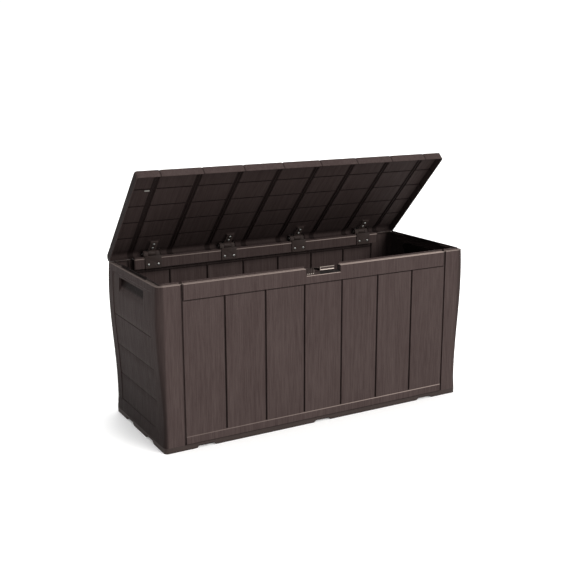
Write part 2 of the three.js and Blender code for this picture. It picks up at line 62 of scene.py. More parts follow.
camera = bpy.data.objects.new("camera", bpy.data.cameras.new("camera"))
camera.data.lens = CAMERA_LENS
camera.data.sensor_width = 36.0
facing = Matrix.Rotation(CAMERA_AZIMUTH, 4, "Z") @ Matrix.Rotation(math.pi / 2 - CAMERA_TILT, 4, "X")
camera.matrix_world = (
    Matrix.Translation(CAMERA_PLACE) @ facing @ Matrix.Rotation(CAMERA_ROLL, 4, "Z")
)
scene.collection.objects.link(camera)
scene.camera = camera


# ---- Studio -------------------------------------------------------------------------------------
# A pale seamless floor that glows a little, so that it stays white round the box. The key light is
# off the front right, with a wide soft light overhead and a fill from behind.
class Wire:
    """A socket in a node tree. Sums written with it become Math nodes."""

    # A Mix node's colour sockets share their names with its other ones, so they go by number.
    MIX_SHARE, MIX_FIRST, MIX_SECOND, MIX_RESULT = 0, 6, 7, 2

    def __init__(self, tree, socket=None):
        self.tree = tree
        self.socket = socket

    def add(self, kind, settings=None, sockets=None, output=0):
        """One output of a new node, after its settings are made and its sockets are fed."""
        node = self.tree.nodes.new(kind)
        for name, value in (settings or {}).items():
            setattr(node, name, value)
        for name, value in (sockets or {}).items():
            self.feed(node.inputs[name], value)
        return Wire(self.tree, node.outputs[output])

    def feed(self, socket, value):
        """Gives a socket a plain value, or a link where the value is a wire."""
        if isinstance(value, Wire):
            self.tree.links.new(value.socket, socket)
        else:
            socket.default_value = value

    def place(self):
        """Object coordinates, which are metres in the frame."""
        return self.add("ShaderNodeTexCoord", output="Object")

    def maths(self, operation, *values):
        sockets = dict(enumerate(values))
        return self.add("ShaderNodeMath", {"operation": operation}, sockets)

    def __add__(self, other):
        return self.maths("ADD", self, other)

    def __radd__(self, other):
        return self.maths("ADD", other, self)

    def __sub__(self, other):
        return self.maths("SUBTRACT", self, other)

    def __rsub__(self, other):
        return self.maths("SUBTRACT", other, self)

    def __mul__(self, other):
        return self.maths("MULTIPLY", self, other)

    def __rmul__(self, other):
        return self.maths("MULTIPLY", other, self)

    def __truediv__(self, other):
        return self.maths("DIVIDE", self, other)

    def size(self):
        """The value without its sign."""
        return self.maths("ABSOLUTE", self)

    def rise(self, low, high):
        """0 below low and 1 above high, with a soft change between them."""
        sockets = {"Value": self, "From Min": low, "From Max": high}
        return self.add("ShaderNodeMapRange", {"interpolation_type": "SMOOTHSTEP"}, sockets)

    def on_line(self, place, half, soft):
        """1 within half of a place and 0 past the soft edge outside it."""
        return 1 - (self - place).size().rise(half, half + soft)

    def blend(self, first, second):
        """The first colour where this is 0 and the second where it is 1."""
        sockets = {self.MIX_SHARE: self, self.MIX_FIRST: first, self.MIX_SECOND: second}
        return self.add("ShaderNodeMix", {"data_type": "RGBA"}, sockets, self.MIX_RESULT)

    def part(self, name):
        """The X, Y or Z of a vector."""
        return self.add("ShaderNodeSeparateXYZ", None, {"Vector": self}, "XYZ".index(name))

    def noise(self, scale, detail=2.0, roughness=0.5, seed=0.0):
        """A cloudy pattern over a place, another one for each seed."""
        sockets = {"Vector": self, "W": seed, "Scale": scale, "Detail": detail, "Roughness": roughness}
        return self.add("ShaderNodeTexNoise", {"noise_dimensions": "4D"}, sockets)

    def stretched(self, scale):
        """A place scaled along X, Y and Z, to draw a pattern out."""
        return self.add("ShaderNodeMapping", None, {"Vector": self, "Scale": scale})

    def emboss(self, surface, strength, depth):
        """Raises a surface where this is high."""
        bump = {"Strength": strength, "Distance": depth, "Height": self}
        self.feed(surface.inputs["Normal"], self.add("ShaderNodeBump", None, bump))


def shade(red, green, blue):
    """A linear colour from its display values, which run from 0 to 255."""
    linear = []
    for level in (red / 255, green / 255, blue / 255):
        linear.append(((level + 0.055) / 1.055) ** 2.4 if level > 0.04045 else level / 12.92)
    return (*linear, 1.0)


def new_material(name):
    """A material, its surface shader and the wire that its other nodes start from."""
    material = bpy.data.materials.new(name)
    material.use_nodes = True
    tree = material.node_tree
    surface = tree.nodes["Principled BSDF"]
    return material, surface, Wire(tree)


FLOOR_HALF = 40.0
FLOOR_GLOW = 0.16
FLOOR_SHADE = (0.93, 0.93, 0.925, 1.0)
FLOOR_PALE = (0.95, 0.95, 0.945, 1.0)
FLOOR_MOTTLE = 1.5

floor_paint, floor_surface, wire = new_material("studio_floor")
mottle = wire.place().noise(FLOOR_MOTTLE, detail=3.0)
wire.feed(floor_surface.inputs["Base Color"], mottle.blend(FLOOR_SHADE, FLOOR_PALE))
floor_surface.inputs["Roughness"].default_value = 0.9
floor_surface.inputs["Specular IOR Level"].default_value = 0.1
floor_surface.inputs["Emission Color"].default_value = FLOOR_SHADE
floor_surface.inputs["Emission Strength"].default_value = FLOOR_GLOW

sheet = bmesh.new()
bmesh.ops.create_grid(sheet, x_segments=1, y_segments=1, size=FLOOR_HALF)
floor = bpy.data.objects.new("studio_floor", bpy.data.meshes.new("studio_floor"))
sheet.to_mesh(floor.data)
sheet.free()
floor.data.materials.append(floor_paint)
scene.collection.objects.link(floor)

# The sky is white in a band at the horizon, which is low in front and high behind the box.
SKY_LOW = (1.0, 1.0, 1.0, 1.0)
SKY_HIGH = (0.3, 0.3, 0.31, 1.0)
SKY_STRENGTH = 1.05
BAND_FADE = (0.14, 0.3)
BAND_BEHIND = 3.5
BEHIND_FADE = (0.1, 0.8)

world = bpy.data.worlds.new("studio_sky")
scene.world = world
world.use_nodes = True
wire = Wire(world.node_tree)
direction = wire.add("ShaderNodeTexCoord", output="Generated")
band = 1 + BAND_BEHIND * direction.part("Y").rise(*BEHIND_FADE)
sky = (direction.part("Z") / band).rise(*BAND_FADE).blend(SKY_LOW, SKY_HIGH)
wire.feed(world.node_tree.nodes["Background"].inputs["Color"], sky)
world.node_tree.nodes["Background"].inputs["Strength"].default_value = SKY_STRENGTH


def soft_lamp(name, toward, spread, strength, tint=(1.0, 1.0, 1.0)):
    """A far lamp that stands toward a direction, with a soft disc as many degrees wide as spread."""
    lamp = bpy.data.lights.new(name, "SUN")
    lamp.angle = math.radians(spread)
    lamp.energy = strength
    lamp.color = tint
    stand = bpy.data.objects.new(name, lamp)
    stand.matrix_world = Vector(toward).to_track_quat("Z", "Y").to_matrix().to_4x4()
    scene.collection.objects.link(stand)


soft_lamp("key_light", toward=(0.4, -0.78, 0.5), spread=40, strength=2.75, tint=(1.0, 0.985, 0.965))
soft_lamp("top_light", toward=(0.15, -0.1, 1.0), spread=90, strength=1.3)
soft_lamp("back_fill", toward=(0.25, 0.8, 0.5), spread=60, strength=1.6)
scene.view_settings.view_transform = "Standard"
scene.view_settings.look = "None"


# ---- Floor tray ---------------------------------------------------------------------------------
# One dark resin moulding under everything: the floor on its grid of ribs, the notched skirt that
# shows below the walls, and the low upstand that they close around. It comes out of its mould with
# slightly rounded edges.
WELD = 0.00002
FLAT_ANGLE = math.radians(1.0)
SHARP_ANGLE = math.radians(32)
RESIN_DARK = shade(46, 38, 36)
RESIN_LIT = shade(54, 45, 42)
RESIN_ROUGHNESS = 0.5
RESIN_GLOSS = 0.12
STIPPLE_SCALE = 900.0
CLOUD_SCALE = 9.0
TRAY_EDGE = 0.0009


def merged_copy(node):
    """A welded copy of a CAD node with its flat areas joined into single faces."""
    shape = bmesh.new()
    shape.from_mesh(frame["nodes"][node].data)
    bmesh.ops.remove_doubles(shape, verts=shape.verts[:], dist=WELD)
    bmesh.ops.dissolve_limit(
        shape, angle_limit=FLAT_ANGLE, verts=shape.verts[:], edges=shape.edges[:]
    )
    return shape


def round_edges(piece, width, segments=2, corner="MITER_ARC"):
    """Rounds a piece's sharp edges, as its mould does."""
    rounding = piece.modifiers.new("rounded_edges", "BEVEL")
    rounding.width = width
    rounding.segments = segments
    rounding.limit_method = "ANGLE"
    rounding.angle_limit = SHARP_ANGLE
    rounding.harden_normals = True
    rounding.miter_outer = corner


def make_piece(name, shape, material, edge=0.0, segments=2):
    """A piece with one material from its shape, its edges rounded where edge has a width."""
    mesh = bpy.data.meshes.new(name)
    shape.to_mesh(mesh)
    shape.free()
    mesh.materials.append(material)
    mesh.shade_smooth()
    piece = bpy.data.objects.new(name, mesh)
    scene.collection.objects.link(piece)
    if edge:
        round_edges(piece, edge, segments)
    return piece


def resin_skin(surface, wire, dark, lit):
    """The finish of the plain resin pieces: a fine dull mould texture between two tones."""
    place = wire.place()
    stipple = place.noise(STIPPLE_SCALE, detail=2.0)
    clouds = place.noise(CLOUD_SCALE, detail=3.0)
    wire.feed(surface.inputs["Roughness"], RESIN_ROUGHNESS + 0.14 * clouds + 0.08 * stipple)
    surface.inputs["Specular IOR Level"].default_value = RESIN_GLOSS
    tone = (0.6 * clouds + 0.4 * stipple).rise(0.3, 0.7)
    wire.feed(surface.inputs["Base Color"], tone.blend(dark, lit))
    stipple.emboss(surface, strength=0.35, depth=0.0002)


dark_resin, surface, wire = new_material("dark_moulded_resin")
resin_skin(surface, wire, RESIN_DARK, RESIN_LIT)

tray = make_piece("floor_tray_moulding", merged_copy("floor_tray"), dark_resin, TRAY_EDGE)
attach(tray, "box")
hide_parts("floor_tray")


# ---- Front panel --------------------------------------------------------------------------------
# One brown resin moulding: seven plank faces with deep joints between them, a bottom rail with a
# sloping top, and a hollow top rail with the rim ledge, its weather lip and the lock's opening.
PLANK = 0.1448
PLANKS = 7
PROUD = 0.0015
UPSTAND = 0.006
RAIL_LOW = 0.490
SILL_TOP = 0.046
WALL = 0.0035
FLANGE = 0.003
FLANGE_LOW = 0.505
SILL_SLOPE = 0.004
RAIL_GROOVE = 0.0022
RIM_FALL = 0.003
RIM_LEAD = 0.0012
JOINT_DEPTH = 0.0052
JOINT_HALF = 0.0036
JOINT_FLOOR = 0.0016
JOINTS_LOW = SILL_TOP + 0.003
JOINTS_HIGH = RAIL_LOW - 0.005
JOINTS_HIGH_INSIDE = RAIL_LOW - 0.006
LATCH_HALF = 0.066
LATCH_LOW = 0.516
DRAFT = 0.0006
HAIR = 0.00005
PANEL_EDGE = 0.0009

# The grain's patterns, as how often they change across a plank, through it and along it.
GRAIN_DRIFT = (5.0, 5.0, 3.2)
GRAIN_PORES = (330.0, 330.0, 15.0)
GRAIN_BANDS = (90.0, 90.0, 3.5)
GRAIN_WANDER = 0.02
GRAIN_STIPPLE = 800.0
GRAIN_CLOUDS = 4.0
GRAIN_RELIEF = 0.0006
GRAIN_ROUGHNESS = 0.66
GRAIN_GLOSS = 0.03
PLANK_SEED = 3.7
# The colour of the painted shade, the grain's two tones, and the colour of the painted highlights.
GRAIN_DEEP = shade(22, 16, 15)
GRAIN_DARK = shade(51, 41, 40)
GRAIN_LIGHT = shade(70, 60, 58)
GRAIN_HIGHLIGHT = shade(150, 136, 129)

# Painted lines: where they run, their half widths, and how far the edge of a mask takes to fade.
RAIL_SHADOW = RAIL_LOW - 0.0025
SILL_EDGE = SILL_TOP - 0.0015
LATCH_EDGE = LATCH_LOW - 0.0006
FINE_LINE = 0.0008
BROAD_LINE = 0.0012
FADE = 0.001

# How deep the painted shade in the joints is, and how strong the painted highlights on the edges,
# which grow stronger towards the right of the box.
JOINT_SHADOW = 0.7
SILL_HIGHLIGHT, SILL_HIGHLIGHT_MORE = 0.2, 0.5
RIM_HIGHLIGHT, RIM_HIGHLIGHT_MORE = 0.5, 0.4
LATCH_HIGHLIGHT = 0.8

front_low, front_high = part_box("front_panel")
FACE = -front_low.y - PROUD
PANEL_END = front_high.x
FOOT = front_low.z
RIM = front_high.z - UPSTAND
FRONT_RAIL = front_high.y + FACE

plank_joints = [(i - (PLANKS - 2) / 2) * PLANK for i in range(PLANKS - 1)]


def rail_section(rail_depth):
    """The panel's upright section as (y, z), from the outer foot round to the inner foot."""
    inner = -FACE + rail_depth
    return [
        (-FACE - PROUD, FOOT),
        (-FACE - PROUD, SILL_TOP - SILL_SLOPE),
        (-FACE, SILL_TOP),
        (-FACE, JOINTS_LOW),
        (-FACE, JOINTS_HIGH),
        (-FACE + RAIL_GROOVE, RAIL_LOW - RAIL_GROOVE),
        (-FACE - PROUD, RAIL_LOW),
        (-FACE - PROUD, RIM - RIM_FALL),
        (-FACE + RIM_LEAD, RIM),
        (inner - FLANGE, RIM),
        (inner - FLANGE, RIM + UPSTAND),
        (inner, RIM + UPSTAND),
        (inner, FLANGE_LOW),
        (inner - FLANGE, FLANGE_LOW),
        (inner - FLANGE, RIM - WALL),
        (-FACE + WALL, RIM - WALL),
        (-FACE + WALL, RAIL_LOW),
        (-FACE + WALL, JOINTS_HIGH_INSIDE),
        (-FACE + WALL, JOINTS_LOW),
        (-FACE + WALL, FOOT),
    ]


def draw_out(shape, faces, keep=False):
    """Extrudes faces and returns the new faces and points; keep leaves the old faces as a cap."""
    made = bmesh.ops.extrude_face_region(shape, geom=faces)["geom"]
    if not keep:
        bmesh.ops.delete(shape, geom=faces, context="FACES_KEEP_BOUNDARY")
    new_faces = [part for part in made if isinstance(part, bmesh.types.BMFace)]
    return new_faces, [part for part in made if isinstance(part, bmesh.types.BMVert)]


def run_along_x(section, stations):
    """A closed section carried along X with a ring of points at each station."""
    shape = bmesh.new()
    ring = [shape.verts.new((stations[0], y, z)) for y, z in section]
    end = [shape.faces.new(ring)]
    for step, x in enumerate(stations[1:]):
        end, points = draw_out(shape, end, keep=step == 0)
        bmesh.ops.translate(shape, vec=(x - stations[step], 0, 0), verts=points)
    return shape


def joint_stations():
    """Places along X of the rings that shape the plank joints."""
    offsets = (-JOINT_HALF, -JOINT_FLOOR, JOINT_FLOOR, JOINT_HALF)
    return [x + offset for x in plank_joints for offset in offsets]


def sink_joints(shape):
    """Pushes the plank joints in, on the outer face and on the inner one alike."""
    for point in shape.verts:
        between_rails = JOINTS_LOW - HAIR < point.co.z < RAIL_LOW - HAIR
        near = min(abs(point.co.x - x) for x in plank_joints)
        if between_rails and point.co.y < -FACE + WALL + HAIR and near < JOINT_FLOOR + HAIR:
            point.co.y += JOINT_DEPTH


def open_latch(shape):
    """Drops the rail's top where the lock plate stands, leaving a cheek at each end."""
    for point in shape.verts:
        side = abs(point.co.x)
        high = point.co.z > LATCH_LOW
        under = abs(point.co.z - (RIM - WALL)) < HAIR
        if under and side < LATCH_HALF + WALL:
            point.co.z = LATCH_LOW - WALL
        elif high and not under and side < LATCH_HALF:
            point.co.z = LATCH_LOW


def grained_resin(name, turn, shift, shading):
    """Brown resin with an embossed wood grain that runs upright after a turn about X and a shift.
    shading gives the share of painted shade and of painted highlight at a place, from its distance to
    a plank joint."""
    material, surface, wire = new_material(name)
    place = wire.place()
    lay = {"Vector": place, "Rotation": (turn, 0, 0), "Location": shift}
    laid = wire.add("ShaderNodeMapping", None, lay)
    cell = laid.part("X") / PLANK + 0.5
    number = cell.maths("FLOOR", cell)
    gap = PLANK * (0.5 - (cell - number - 0.5).size())
    seed = number * PLANK_SEED

    # Slow sideways drift makes the lines wander as they climb.
    wander = laid.stretched(GRAIN_DRIFT).noise(1.0, detail=2.0, seed=seed)
    across = laid.part("X") + GRAIN_WANDER * wander
    bent = wire.add(
        "ShaderNodeCombineXYZ", None, {"X": across, "Y": laid.part("Y"), "Z": laid.part("Z")}
    )
    pores = bent.stretched(GRAIN_PORES).noise(1.0, detail=3.0, roughness=0.6, seed=seed)
    bands = bent.stretched(GRAIN_BANDS).noise(1.0, detail=2.0, seed=seed)
    stipple = place.noise(GRAIN_STIPPLE, detail=1.0)
    clouds = place.noise(GRAIN_CLOUDS, detail=3.0)
    relief = 0.6 * pores.rise(0.3, 0.68) + 0.4 * bands.rise(0.25, 0.75)

    tone = 0.5 * relief + 0.25 * clouds + 0.25 * wander
    shadow, painted_highlight = shading(laid, gap)
    brown = tone.rise(0.0, 1.0).blend(GRAIN_DARK, GRAIN_LIGHT)
    wire.feed(surface.inputs["Base Color"], shadow.blend(painted_highlight.blend(brown, GRAIN_HIGHLIGHT), GRAIN_DEEP))
    wire.feed(surface.inputs["Roughness"], GRAIN_ROUGHNESS - 0.12 * relief + 0.06 * clouds)
    surface.inputs["Specular IOR Level"].default_value = GRAIN_GLOSS
    (relief + 0.06 * stipple).emboss(surface, strength=0.55, depth=GRAIN_RELIEF)
    return material


def rim_line(height):
    """The edge of the rim, where a pale line of painted highlight runs."""
    return height.on_line(RIM - FINE_LINE / 2, FINE_LINE, BROAD_LINE)


def wall_shading(laid, gap):
    """Painted shade in the plank joints, at the foot, in a line under the top rail and at the rail's
    ends; painted highlights on the sill, the rim and the lock opening's edge.
    """
    side, height = laid.part("X").size(), laid.part("Z")
    panel = 1 - side.rise(PANEL_END - FADE, PANEL_END)
    foot = 1 - height.rise(FOOT + 1.5 * FADE, FOOT + 3 * FADE)
    above_sill = height.rise(SILL_TOP, SILL_TOP + 2 * FADE)
    below_rail = 1 - height.rise(RAIL_LOW - 4 * FADE, RAIL_LOW - FADE)
    planks = above_sill * below_rail
    joints = panel * planks * (1 - gap.rise(JOINT_FLOOR, JOINT_HALF + FINE_LINE))
    under_rail = panel * height.on_line(RAIL_SHADOW, BROAD_LINE, FADE)
    sill = panel * height.on_line(SILL_EDGE, FINE_LINE, FINE_LINE)
    ledge = rim_line(height)
    above_rail = height.rise(RAIL_LOW, RAIL_LOW + FADE)
    rail_end = side.rise(PANEL_END - 5 * FADE, PANEL_END - 3 * FADE) * above_rail
    lines = joints.maths("MAXIMUM", joints, under_rail) + foot
    rightward = laid.part("X").rise(-PANEL_END, PANEL_END)
    front = 1 - laid.part("Y").rise(-FACE / 2, FACE / 2)
    latch = 1 - side.rise(LATCH_HALF - 2 * FADE, LATCH_HALF)
    latch = latch * height.on_line(LATCH_EDGE, FINE_LINE, FINE_LINE)
    painted_highlight = (SILL_HIGHLIGHT + SILL_HIGHLIGHT_MORE * rightward) * sill
    painted_highlight = painted_highlight + (RIM_HIGHLIGHT + RIM_HIGHLIGHT_MORE * rightward) * ledge + LATCH_HIGHLIGHT * front * latch
    return JOINT_SHADOW * lines.maths("MAXIMUM", lines, rail_end), painted_highlight


wall_resin = grained_resin("wood_grain_resin", 0.0, (0, 0, 0), wall_shading)

latch_steps = (-DRAFT, 0.0, WALL - DRAFT, WALL)
front_stations = [-PANEL_END, PANEL_END, *joint_stations()]
front_stations += [side * (LATCH_HALF + step) for step in latch_steps for side in (-1, 1)]
shape = run_along_x(rail_section(FRONT_RAIL), sorted(front_stations))
sink_joints(shape)
open_latch(shape)
bmesh.ops.recalc_face_normals(shape, faces=shape.faces[:])
front = make_piece("front_plank_panel", shape, wall_resin, PANEL_EDGE)
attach(front, "box")
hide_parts("front_panel")


# ---- Back panel ---------------------------------------------------------------------------------
# The same moulding turned to face the wall, with a deeper top rail for the hinge brackets and no
# opening for a lock.
back_low, back_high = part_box("back_panel")
BACK_RAIL = back_high.y - PROUD - back_low.y

shape = run_along_x(rail_section(BACK_RAIL), sorted([-PANEL_END, PANEL_END, *joint_stations()]))
sink_joints(shape)
half_turn = Matrix.Rotation(math.pi, 3, "Z")
bmesh.ops.rotate(shape, verts=shape.verts[:], cent=(0, 0, 0), matrix=half_turn)
bmesh.ops.recalc_face_normals(shape, faces=shape.faces[:])
back = make_piece("back_plank_panel", shape, wall_resin, PANEL_EDGE)
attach(back, "box")
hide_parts("back_panel")


# ---- End panels ---------------------------------------------------------------------------------
# Each end is one brown resin moulding that wraps round both corners to make the half-plank posts.
# Its wall swells towards the top and holds a sunk field of four boards with a finger recess. A thin
# tongue at each end slides behind the long panel's edge.
WAIST = 0.5745
BULGE = 0.591
WAIST_Z = 0.090
BULGE_Z = 0.440
TOP_FALL = 0.0045
FLARE = 0.0035
FLARE_Z = 0.062
CORNER = 0.016
END_WALL = 0.0035
LEDGE = 0.012
POST_GAP = 0.0033
POST_EDGE = (PLANKS / 2) * PLANK + POST_GAP
POST_STEP = 0.02
FIELD_FRONT, FIELD_BACK = -0.167, 0.170
FIELD_LOW, FIELD_HIGH = 0.060, 0.518
FIELD_DEPTH = 0.0025
FIELD_SLOPE = 0.003
BOARD_JOINTS = (0.157, 0.262, 0.370)
BOARD_JOINT_HALF = 0.003
BOARD_JOINT_DEPTH = 0.0018
GRIP_HALF = 0.110
GRIP_LOW, GRIP_KNEE, GRIP_HIGH = 0.458, 0.496, 0.506
GRIP_DEPTH = 0.015
GRIP_DRAFT = 0.0015
GRIP_STEP = 0.035
TONGUE_REACH = 0.017
TONGUE_BEHIND = 0.0055
TONGUE_TOP = 0.536
BACK_FLANGE = back_low.y
CORNER_STEPS = 7
END_EDGE = 0.001
# How deep the painted shade over the end wall is, with more of it towards the foot; how deep the
# painted shadow in the finger recess is; and how strong the rim's painted highlight is.
END_SHADE = 0.44
END_SHADE_LOW = 0.3
GRIP_DARK = GRIP_DEPTH * 0.6
GRIP_SHADOW = 0.95
END_RIM_HIGHLIGHT = 0.5

# Heights of rings that only follow the swell, from the foot to just under the rim.
SWELL_RINGS = (
    0.028, 0.040, 0.051, 0.090, 0.112, 0.134, 0.180, 0.204, 0.232, 0.286, 0.310, 0.338,
    0.394, 0.418, 0.440, 0.473, RIM - 0.008, RIM - 0.002,
)


def half_width(z):
    """How far the end wall stands from the middle of the box at a height."""
    share = min(1.0, max(0.0, (z - WAIST_Z) / (BULGE_Z - WAIST_Z)))
    rise = (BULGE - WAIST) * (1 - math.cos(math.pi * share)) / 2
    fall = TOP_FALL * max(0.0, (z - BULGE_Z) / (RIM - BULGE_Z)) ** 2
    foot = FLARE * max(0.0, (FLARE_Z - z) / (FLARE_Z - FOOT))
    return WAIST + rise - fall + foot


def walk(shape, points, ahead):
    """Draws a line on from the last of its points through the places ahead."""
    for x, y in ahead:
        made = bmesh.ops.extrude_vert_indiv(shape, verts=[points[-1]])["verts"]
        made[0].co = (x, y, made[0].co.z)
        points.append(made[0])


def turn_corner(shape, points, centre):
    """Carries the line a quarter turn to the left about a corner's centre."""
    made = bmesh.ops.spin(
        shape, geom=[points[-1]], cent=(*centre, FOOT), axis=(0, 0, 1), angle=math.pi / 2,
        steps=CORNER_STEPS,
    )
    shape.verts.ensure_lookup_table()
    points.append(made["geom_last"][0])


def end_plan(shape):
    """The wall's line in plan, from the front tongue round to the back tongue."""
    points = [shape.verts.new((POST_EDGE - TONGUE_REACH, -FACE + TONGUE_BEHIND, FOOT))]
    walk(shape, points, [
        (PANEL_END + DRAFT, -FACE + TONGUE_BEHIND),
        (POST_EDGE + DRAFT, -FACE + TONGUE_BEHIND),
        (POST_EDGE, -FACE),
        (POST_EDGE + POST_STEP, -FACE),
        (WAIST - CORNER, -FACE),
    ])
    turn_corner(shape, points, (WAIST - CORNER, -FACE + CORNER))
    uprights = [
        FIELD_FRONT, FIELD_FRONT + FIELD_SLOPE, -GRIP_HALF, -GRIP_HALF + GRIP_DRAFT,
        *(step * GRIP_STEP for step in (-2, -1, 0, 1, 2)),
        GRIP_HALF - GRIP_DRAFT, GRIP_HALF, FIELD_BACK - FIELD_SLOPE, FIELD_BACK,
    ]
    walk(shape, points, [(WAIST, y) for y in uprights])
    walk(shape, points, [(WAIST, BACK_FLANGE), (WAIST, FACE - CORNER)])
    turn_corner(shape, points, (WAIST - CORNER, FACE - CORNER))
    walk(shape, points, [
        (POST_EDGE + POST_STEP, FACE),
        (POST_EDGE, FACE),
        (POST_EDGE + DRAFT, FACE - TONGUE_BEHIND),
        (PANEL_END + DRAFT, FACE - TONGUE_BEHIND),
        (POST_EDGE - TONGUE_REACH, FACE - TONGUE_BEHIND),
    ])


def end_heights():
    """Heights of the rings of points, close enough to follow the swell and each step in it."""
    field = [FIELD_LOW, FIELD_LOW + FIELD_SLOPE, FIELD_HIGH - FIELD_SLOPE, FIELD_HIGH]
    boards = [z + side * BOARD_JOINT_HALF for z in BOARD_JOINTS for side in (-1, 0, 1)]
    grip = [GRIP_LOW, GRIP_KNEE, GRIP_HIGH - GRIP_DRAFT, GRIP_HIGH]
    return sorted([*SWELL_RINGS, *field, *boards, *grip, TONGUE_TOP, RIM])


def raise_edges(shape, edges, z):
    """Draws a row of edges up to a height, and returns the new row."""
    made = bmesh.ops.extrude_edge_only(shape, edges=edges)["geom"]
    for part in made:
        if isinstance(part, bmesh.types.BMVert):
            part.co.z = z
    return [part for part in made if isinstance(part, bmesh.types.BMEdge)]


def shape_end_wall(shape):
    """Sinks the field, its board joints and the finger recess, and swells the wall."""
    for point in shape.verts:
        x, y, z = point.co
        share = max(0.0, x - POST_EDGE) / (WAIST - POST_EDGE)
        out = share * (half_width(z) - WAIST)
        in_field_y = FIELD_FRONT + HAIR < y < FIELD_BACK - HAIR
        in_field_z = FIELD_LOW + HAIR < z < FIELD_HIGH - HAIR
        if x > WAIST - HAIR and in_field_y and in_field_z:
            out -= FIELD_DEPTH
            if min(abs(z - joint) for joint in BOARD_JOINTS) < HAIR:
                out -= BOARD_JOINT_DEPTH
            if abs(y) < GRIP_HALF - HAIR and GRIP_LOW < z < GRIP_HIGH - HAIR:
                out -= GRIP_DEPTH * min(1.0, (z - GRIP_LOW) / (GRIP_KNEE - GRIP_LOW))
        point.co.x += out


def step_in(shape, edges, distance):
    """Draws the rim's edges in over the ledge, square to the wall all the way round."""
    made = bmesh.ops.extrude_edge_only(shape, edges=edges)["geom"]
    middle = half_width(RIM) - CORNER
    for part in made:
        if isinstance(part, bmesh.types.BMVert):
            x, y = part.co.x, part.co.y
            core = Vector((min(x, middle), max(-FACE + CORNER, min(FACE - CORNER, y))))
            outward = (Vector((x, y)) - core).normalized()
            part.co.x -= outward.x * distance
            part.co.y -= outward.y * distance
    return [part for part in made if isinstance(part, bmesh.types.BMEdge)]


def along_rim(edge):
    """Whether an edge of the top row is the wall's own, not the short one down to a tongue."""
    level = abs(edge.verts[0].co.y - edge.verts[1].co.y) < HAIR
    beyond_post_edge = max(point.co.x for point in edge.verts) > POST_EDGE + POST_STEP / 2
    return level or beyond_post_edge


def end_shape():
    """The right end's outer skin, with its ledge and lip. Its wall is given a thickness later."""
    shape = bmesh.new()
    end_plan(shape)
    row = shape.edges[:]
    for z in end_heights():
        row = raise_edges(shape, row, z)
    tongue_tops = [
        face for face in shape.faces
        if face.calc_center_median().x < PANEL_END and face.calc_center_median().z > TONGUE_TOP
    ]
    rim = [edge for edge in row if min(point.co.x for point in edge.verts) > POST_EDGE - HAIR]
    rim = [edge for edge in rim if along_rim(edge)]
    bmesh.ops.delete(shape, geom=tongue_tops, context="FACES")
    shape_end_wall(shape)
    ledge = step_in(shape, rim, LEDGE)
    lip = raise_edges(shape, ledge, RIM + UPSTAND)
    behind = [
        face for edge in lip for face in edge.link_faces
        if face.calc_center_median().y > BACK_FLANGE
    ]
    bmesh.ops.delete(shape, geom=behind, context="FACES")
    bmesh.ops.remove_doubles(shape, verts=shape.verts[:], dist=HAIR / 5)
    bmesh.ops.recalc_face_normals(shape, faces=shape.faces[:])
    outward = sum(face.normal.x * face.calc_area() for face in shape.faces)
    if outward < 0:
        bmesh.ops.reverse_faces(shape, faces=shape.faces[:])
    return shape


def end_shading(laid, gap):
    """Painted shade over the end wall that deepens towards the foot, painted shadow deep in the finger
    recess, and a painted highlight along the rim.
    """
    side, along, height = laid.part("X").size(), laid.part("Y").size(), laid.part("Z")
    face = half_width(GRIP_KNEE) - FIELD_DEPTH
    depth = (face - side).rise(FADE, GRIP_DARK)
    within = 1 - along.rise(GRIP_HALF, GRIP_HALF + 2 * FADE)
    within = within * height.rise(GRIP_LOW - 10 * FADE, GRIP_LOW)
    recess = GRIP_SHADOW * within * depth
    outer = side.rise(WAIST - 12 * FADE, WAIST - 4 * FADE)
    low = 1 - height.rise(0, BULGE_Z)
    painted_end_shade = outer * (END_SHADE + END_SHADE_LOW * low)
    return painted_end_shade.maths("MAXIMUM", painted_end_shade, recess), END_RIM_HIGHLIGHT * rim_line(height)


end_resin = grained_resin("end_grain_resin", 0.0, (0, 0, 0), end_shading)
for side, node in ((1, "right_end_panel"), (-1, "left_end_panel")):
    shape = end_shape()
    if side < 0:
        bmesh.ops.scale(shape, vec=(-1, 1, 1), verts=shape.verts[:])
        bmesh.ops.reverse_faces(shape, faces=shape.faces[:])
    end = make_piece(node.replace("panel", "moulding"), shape, end_resin)
    skin = end.modifiers.new("wall", "SOLIDIFY")
    skin.thickness = END_WALL
    skin.offset = -1
    skin.use_even_offset = True
    round_edges(end, END_EDGE, corner="MITER_SHARP")
    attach(end, "box")
    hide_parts(node)


# ---- Lock plate ---------------------------------------------------------------------------------
# A dark resin insert clipped into the front rim: ribs for the thumb, a hole for a padlock and a
# raised tab that the lid's lip drops over.
LOCK_EDGE = 0.0007
TAB_LEFT, TAB_RIGHT = -0.012, 0.042
TAB_LOW = 0.529
TAB_FACE = -FACE + 0.002
RIBS_RIGHT = -0.034
RIB_FOOT = 0.521
RIB_FACE = -FACE + 0.0035
SLOT_LEFT = 0.0445
# The colours of the painted shadow and of the painted highlights, and how strong each is.
RESIN_SHADE = shade(14, 11, 11)
RESIN_HIGHLIGHT = shade(196, 182, 172)
TAB_SIDE_HIGHLIGHT = 0.5
TAB_TOP_HIGHLIGHT = 0.4
RIB_HIGHLIGHT = 0.6
PLATE_SHADE = 0.85


